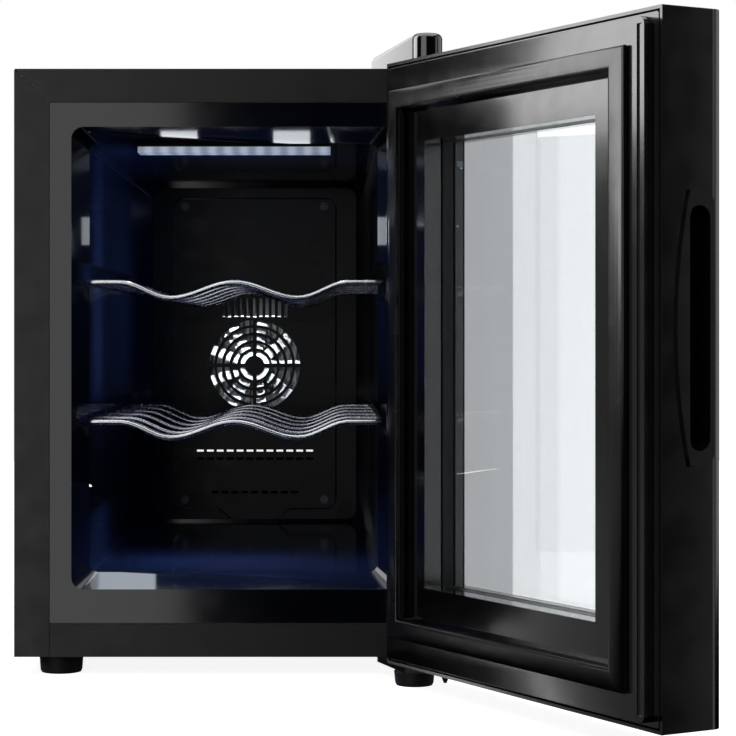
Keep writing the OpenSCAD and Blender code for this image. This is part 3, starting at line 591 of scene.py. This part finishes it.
def build_hinge_cover():
    """Hollow cap with a rounded top edge, tapering from the back to the hinge pin."""
    low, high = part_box("top_hinge_cover")
    z0, z1 = height(low.z), height(high.z)
    circles = [(hinge_x - 1.3, hinge_y - 1.5, 9.5), (hinge_x - 23.1, 79, 10),
               (hinge_x - 0.7, 79, 9)]
    wall, round_r = 1.8, 3.6
    rings = [(wall, z0), (0.3, z0), (0.0, z0 + 0.3)]
    for step in range(9):
        a = math.radians(90 * step / 8)
        rings.append((round_r * (1 - math.cos(a)), z1 - round_r + round_r * math.sin(a)))
    inner = [(wall + 2.5, z1 - wall), (wall, z1 - wall - 2.5)]
    points, faces = [], []
    steps = 72
    for inset, z in rings:
        points += [at(x, y, z) for x, y in outline(circles, inset, steps)]
    for i in range(len(rings) - 1):
        for k in range(steps):
            m = (k + 1) % steps
            faces.append((i * steps + k, i * steps + m, (i + 1) * steps + m, (i + 1) * steps + k))
    last = (len(rings) - 1) * steps
    faces.append(tuple(last + k for k in range(steps)))
    shift = len(points)
    for inset, z in inner:
        points += [at(x, y, z) for x, y in outline(circles, inset, steps)]
    for k in range(steps):
        m = (k + 1) % steps
        faces.append((k, m, shift + steps + m, shift + steps + k))
        faces.append((shift + steps + k, shift + steps + m, shift + m, shift + k))
    faces.append(tuple(shift + k for k in range(steps)))
    return mesh_piece("top_hinge_cap", points, faces, "gloss_cap", "cabinet",
                      ("top_hinge_cover",))


# ---------- light and stage ----------

def panel(name, place, target, width, height, glow, color=(1, 1, 1), hide=("camera",)):
    """Soft box: a rectangle of even glow, given as radiance, that faces a target."""
    data = bpy.data.lights.new(name, "AREA")
    data.shape = "RECTANGLE"
    data.size = width
    data.size_y = height
    data.energy = glow * math.pi * width * height
    data.color = color
    light = bpy.data.objects.new(name, data)
    bpy.context.scene.collection.objects.link(light)
    light.location = place
    light.rotation_euler = (target - place).to_track_quat("-Z", "Y").to_euler()
    for kind in ("camera", "diffuse", "glossy", "transmission"):
        setattr(light, "visible_" + kind, kind not in hide)
    return light


def spot(name, place, target, watts, angle, color):
    """Spot lamp with soft edges that shiny surfaces do not mirror."""
    data = bpy.data.lights.new(name, "SPOT")
    data.energy = watts
    data.spot_size = math.radians(angle)
    data.spot_blend = 0.6
    data.shadow_soft_size = 0.01
    data.color = color
    light = bpy.data.objects.new(name, data)
    bpy.context.scene.collection.objects.link(light)
    light.location = place
    light.rotation_euler = (target - place).to_track_quat("-Z", "Y").to_euler()
    light.visible_glossy = False
    return light


UNSEEN = ("camera", "transmission")
MIRROR_ONLY = UNSEEN + ("diffuse",)
SOFT_ONLY = UNSEEN + ("glossy",)
BLUE = (0.32, 0.5, 1.0)
COOL = (0.85, 0.92, 1.0)
PALE = (0.9, 0.95, 1.0)

# Studio soft boxes: name, place, what it faces, width and height in metres, glow, hidden from
STUDIO = [("overhead", (0, 0, 3200), (0, 0, 0), 5.0, 5.0, 1.5, UNSEEN),
          ("front_left", (-1536, -3000, 1100), (-1536, 0, 1100), 2.6, 4.2, 1.0, UNSEEN),
          ("left_back", (-2500, 415, 1700), (0, 415, 1700), 1.83, 2.2, 4.0, MIRROR_ONLY),
          ("left_mid", (-2550, 415, 0), (0, 415, 0), 1.83, 1.2, 0.15, MIRROR_ONLY),
          ("left_low", (-2500, 1350, -350), (0, 1350, -350), 0.12, 0.5, 2.6, MIRROR_ONLY),
          ("rear", (-1500, 3600, 1300), (0, 0, 1000), 2.6, 2.8, 1.1, UNSEEN),
          ("right_back", (3200, 1500, 1200), (0, 1500, 1200), 3.0, 3.0, 0.6, UNSEEN),
          ("right_front", (2700, -800, 400), (0, -800, 400), 0.8, 3.0, 0.55, UNSEEN)]

# Two screens seen through the open pane: left edge, foot and glow
SCREENS = [(206, -300, 0.86), (223, 48.8, 0.51)]
SCREEN_Y, SCREEN_RIGHT, SCREEN_TOP = 300, 640, 870

# Blue spill of the light bar on the liner: name, place, what it faces, width, depth, glow
SPILL = [("wall_front", (-60, 62, 250), (-91, 62, 250), 0.04, 0.15, 18),
         ("wall_back", (-50, 200, 250), (-91, 200, 250), 0.2, 0.14, 5),
         ("floor_glow", (-20, 70, 105), (-20, 70, 65), 0.12, 0.1, 22),
         ("floor_corner", (70, 50, 105), (70, 50, 65), 0.06, 0.06, 14),
         ("ceiling_glow", (-10, 110, 300), (-10, 110, 337), 0.14, 0.1, 4)]

# Cards mirrored in the sloped edges of the liner: name, place, what it faces, size, glow, colour
CARDS = [("ceiling_patch", (-38, 27, 292), (-38, 10, 400), 0.024, 0.026, 8, PALE),
         ("ceiling_patch", (36, 27, 292), (36, 10, 400), 0.024, 0.026, 8, PALE),
         ("floor_patch", (-74, 18, 120), (-74, 0, 20), 0.04, 0.02, 5, COOL)]
CARDS += [("side_patch", (way * x, y, 283), (way * (x + 40), y - 10, 283), wide, 0.018, glow, COOL)
          for x, y, wide, glow in ((62.6, 23.5, 0.006, 18), (61, 18, 0.012, 3))
          for way in (-1, 1)]


def light_the_studio():
    for name, place, target, width, height_m, glow, hide in STUDIO:
        panel(name, at(*place), at(*target), width, height_m, glow, hide=hide)
    for left, foot, glow in SCREENS:
        x, z = (left + SCREEN_RIGHT) / 2, (foot + SCREEN_TOP) / 2
        panel("behind_door", at(x, SCREEN_Y, z), at(x, SCREEN_Y - 1000, z),
              (SCREEN_RIGHT - left) * MM, (SCREEN_TOP - foot) * MM, glow,
              hide=("camera", "diffuse", "glossy"))


def light_the_cabinet():
    """Light bar, its spill and reflections, and the light on the fan behind the back cover."""
    low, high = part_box("light_lens")
    middle = (low + high) / 2
    under = Vector((middle.x, middle.y, low.z - 0.001))
    below = under - Vector((0, 0, 1))
    size = (high.x - low.x, high.y - low.y)
    panel("light_bar", under, below, *size, 25, BLUE, hide=("camera", "glossy"))
    panel("bar_shine", under, below, *size, 16, (0.8, 0.88, 1.0), hide=MIRROR_ONLY)
    lamp = spot("fan_light", at(0, 40, 318), at(0, 386, 191), 14, 30, (0.9, 0.94, 1.0))
    lit = bpy.data.collections.new("lit_by_fan_light")
    for name in ("cold_fan_frame", "cold_fan_rotor", "cold_sink"):
        lit.objects.link(nodes[name])
    lamp.light_linking.receiver_collection = lit
    panel("slot_light", at(0, 404, 122.3), at(0, 0, 122.3), 0.1, 0.004, 0.9, (0.95, 0.97, 1.0),
          hide=("glossy",))
    for name, place, target, width, depth, glow, color in CARDS:
        panel(name, at(*place), at(*target), width, depth, glow, color, hide=MIRROR_ONLY)
    for name, place, target, width, depth, glow in SPILL:
        panel(name, at(*place), at(*target), width, depth, glow, BLUE, hide=SOFT_ONLY)


def make_stage():
    """Pale floor and world, kept out of reflections."""
    mesh = bpy.data.meshes.new("floor")
    reach = 2.2
    corners = [(-reach, -reach, 0), (reach, -reach, 0), (reach, reach, 0), (-reach, reach, 0)]
    mesh.from_pydata(corners, [], [(0, 1, 2, 3)])
    floor = bpy.data.objects.new("floor", mesh)
    bpy.context.scene.collection.objects.link(floor)
    s = Shader("pale_floor")
    s.color(s.noise(3), (0.86, 0.86, 0.86), (0.9, 0.9, 0.9))
    s.set(Roughness=0.9, Emission_Color=(1, 1, 1, 1), Emission_Strength=0.9)
    mesh.materials.append(s.material)
    floor.visible_glossy = False
    floor.visible_diffuse = False
    floor.visible_transmission = False
    world = bpy.data.worlds.new("world")
    bpy.context.scene.world = world
    world.use_nodes = True
    world.node_tree.nodes["Background"].inputs["Color"].default_value = (1, 1, 1, 1)
    world.cycles_visibility.glossy = False
    world.cycles_visibility.diffuse = False
    bpy.context.scene.view_settings.view_transform = "Standard"


make_camera()
paint_nodes()
soften_edges()
build_shelf("lower_shelf")
build_shelf("upper_shelf")
build_seal()
build_hinge_cover()
light_the_studio()
light_the_cabinet()
make_stage()
